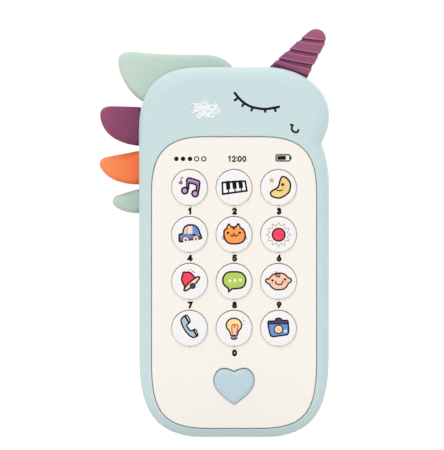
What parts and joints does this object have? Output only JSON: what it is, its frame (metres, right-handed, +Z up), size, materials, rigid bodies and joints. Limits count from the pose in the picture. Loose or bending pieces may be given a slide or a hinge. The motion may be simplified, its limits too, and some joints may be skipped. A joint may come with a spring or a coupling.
{
  "type": "toy cell phone",
  "caption": "Upright toy phone with a sleeping horned head, soft horn and mane petals, round picture keys, a heart key, a rear loudspeaker and a screwed battery door.",
  "frame": {"origin": "middle of the flat foot at the phone's bottom end", "axes": "+Z up the phone towards the horn, -Y out of the key panel, +X to the right as the key panel is faced"},
  "size_m": [0.09, 0.0272, 0.1602],
  "materials": {
    "shell_blue": "soft-touch satin moulding",
    "panel_white": "warm white satin moulding",
    "key_white": "polished white caps with printed pictures",
    "heart_blue": "satin moulding",
    "crest_green": "smooth matt silicone",
    "plum": "smooth matt silicone",
    "orange": "smooth matt silicone",
    "mint": "smooth matt silicone",
    "pad_grey": "translucent grey rubber",
    "board": "bare brown laminate",
    "black_part": "moulded epoxy and sleeve",
    "cone": "treated paper",
    "magnet": "bare ferrite in a plated cup",
    "knob_black": "fine grained",
    "steel": "zinc plated",
    "cell": "plain shrink sleeve",
    "nickel": "nickel plated",
    "wire_red": "insulation",
    "wire_black": "insulation"
  },
  "bodies": {
    "housing": {"front_shell": "shell_blue", "rear_shell": "shell_blue", "face_panel": "panel_white", "horn": "plum", "mane_crest": "crest_green", "mane_upper": "plum", "mane_middle": "orange", "mane_lower": "mint", "keypad_membrane": "pad_grey", "circuit_board": "board", "sound_chip": "black_part", "capacitor": "black_part", "board_screw_1": "steel", "board_screw_2": "steel", "board_screw_3": "steel", "board_screw_4": "steel", "speaker_frame": "steel", "speaker_cone": "cone", "speaker_magnet": "magnet", "power_switch_body": "steel", "battery_cell_left": "cell", "battery_cell_middle": "cell", "battery_cell_right": "cell", "battery_contact_positive": "nickel", "battery_contact_negative": "nickel", "battery_bridge_upper": "nickel", "battery_bridge_lower": "nickel", "case_screw_bottom_left": "steel", "case_screw_bottom_right": "steel", "case_screw_top_left": "steel", "case_screw_top_right": "steel", "battery_wire_positive": "wire_red", "battery_wire_negative": "wire_black", "switch_wire": "wire_red", "speaker_wire_positive": "wire_red", "speaker_wire_negative": "wire_black"},
    "key_1": {"key_1": "key_white"},
    "key_2": {"key_2": "key_white"},
    "key_3": {"key_3": "key_white"},
    "key_4": {"key_4": "key_white"},
    "key_5": {"key_5": "key_white"},
    "key_6": {"key_6": "key_white"},
    "key_7": {"key_7": "key_white"},
    "key_8": {"key_8": "key_white"},
    "key_9": {"key_9": "key_white"},
    "key_call": {"key_call": "key_white"},
    "key_0": {"key_0": "key_white"},
    "key_camera": {"key_camera": "key_white"},
    "key_heart": {"key_heart": "heart_blue"},
    "power_switch": {"power_switch_knob": "knob_black"},
    "battery_cover": {"battery_door": "shell_blue", "battery_door_screw_1": "steel", "battery_door_screw_2": "steel"}
  },
  "joints": [
    {"name": "key_1_press", "type": "slide", "parent": "housing", "child": "key_1", "axis": [0, 1, 0], "range_m": [0, 0.0015], "stiffness_N_per_m": 400, "springref_m": -0.0005, "deforming": ["keypad_membrane"]},
    {"name": "key_2_press", "type": "slide", "parent": "housing", "child": "key_2", "axis": [0, 1, 0], "range_m": [0, 0.0015], "stiffness_N_per_m": 400, "springref_m": -0.0005, "deforming": ["keypad_membrane"]},
    {"name": "key_3_press", "type": "slide", "parent": "housing", "child": "key_3", "axis": [0, 1, 0], "range_m": [0, 0.0015], "stiffness_N_per_m": 400, "springref_m": -0.0005, "deforming": ["keypad_membrane"]},
    {"name": "key_4_press", "type": "slide", "parent": "housing", "child": "key_4", "axis": [0, 1, 0], "range_m": [0, 0.0015], "stiffness_N_per_m": 400, "springref_m": -0.0005, "deforming": ["keypad_membrane"]},
    {"name": "key_5_press", "type": "slide", "parent": "housing", "child": "key_5", "axis": [0, 1, 0], "range_m": [0, 0.0015], "stiffness_N_per_m": 400, "springref_m": -0.0005, "deforming": ["keypad_membrane"]},
    {"name": "key_6_press", "type": "slide", "parent": "housing", "child": "key_6", "axis": [0, 1, 0], "range_m": [0, 0.0015], "stiffness_N_per_m": 400, "springref_m": -0.0005, "deforming": ["keypad_membrane"]},
    {"name": "key_7_press", "type": "slide", "parent": "housing", "child": "key_7", "axis": [0, 1, 0], "range_m": [0, 0.0015], "stiffness_N_per_m": 400, "springref_m": -0.0005, "deforming": ["keypad_membrane"]},
    {"name": "key_8_press", "type": "slide", "parent": "housing", "child": "key_8", "axis": [0, 1, 0], "range_m": [0, 0.0015], "stiffness_N_per_m": 400, "springref_m": -0.0005, "deforming": ["keypad_membrane"]},
    {"name": "key_9_press", "type": "slide", "parent": "housing", "child": "key_9", "axis": [0, 1, 0], "range_m": [0, 0.0015], "stiffness_N_per_m": 400, "springref_m": -0.0005, "deforming": ["keypad_membrane"]},
    {"name": "key_call_press", "type": "slide", "parent": "housing", "child": "key_call", "axis": [0, 1, 0], "range_m": [0, 0.0015], "stiffness_N_per_m": 400, "springref_m": -0.0005, "deforming": ["keypad_membrane"]},
    {"name": "key_0_press", "type": "slide", "parent": "housing", "child": "key_0", "axis": [0, 1, 0], "range_m": [0, 0.0015], "stiffness_N_per_m": 400, "springref_m": -0.0005, "deforming": ["keypad_membrane"]},
    {"name": "key_camera_press", "type": "slide", "parent": "housing", "child": "key_camera", "axis": [0, 1, 0], "range_m": [0, 0.0015], "stiffness_N_per_m": 400, "springref_m": -0.0005, "deforming": ["keypad_membrane"]},
    {"name": "key_heart_press", "type": "slide", "parent": "housing", "child": "key_heart", "axis": [0, 1, 0], "range_m": [0, 0.0015], "stiffness_N_per_m": 400, "springref_m": -0.0005, "deforming": ["keypad_membrane"]},
    {"name": "power_switch_slide", "type": "slide", "parent": "housing", "child": "power_switch", "axis": [1, 0, 0], "range_m": [0, 0.004]},
    {"name": "battery_cover_lift", "type": "slide", "parent": "housing", "child": "battery_cover", "axis": [0, 1, 0], "range_m": [0, 0.03]}
  ]
}
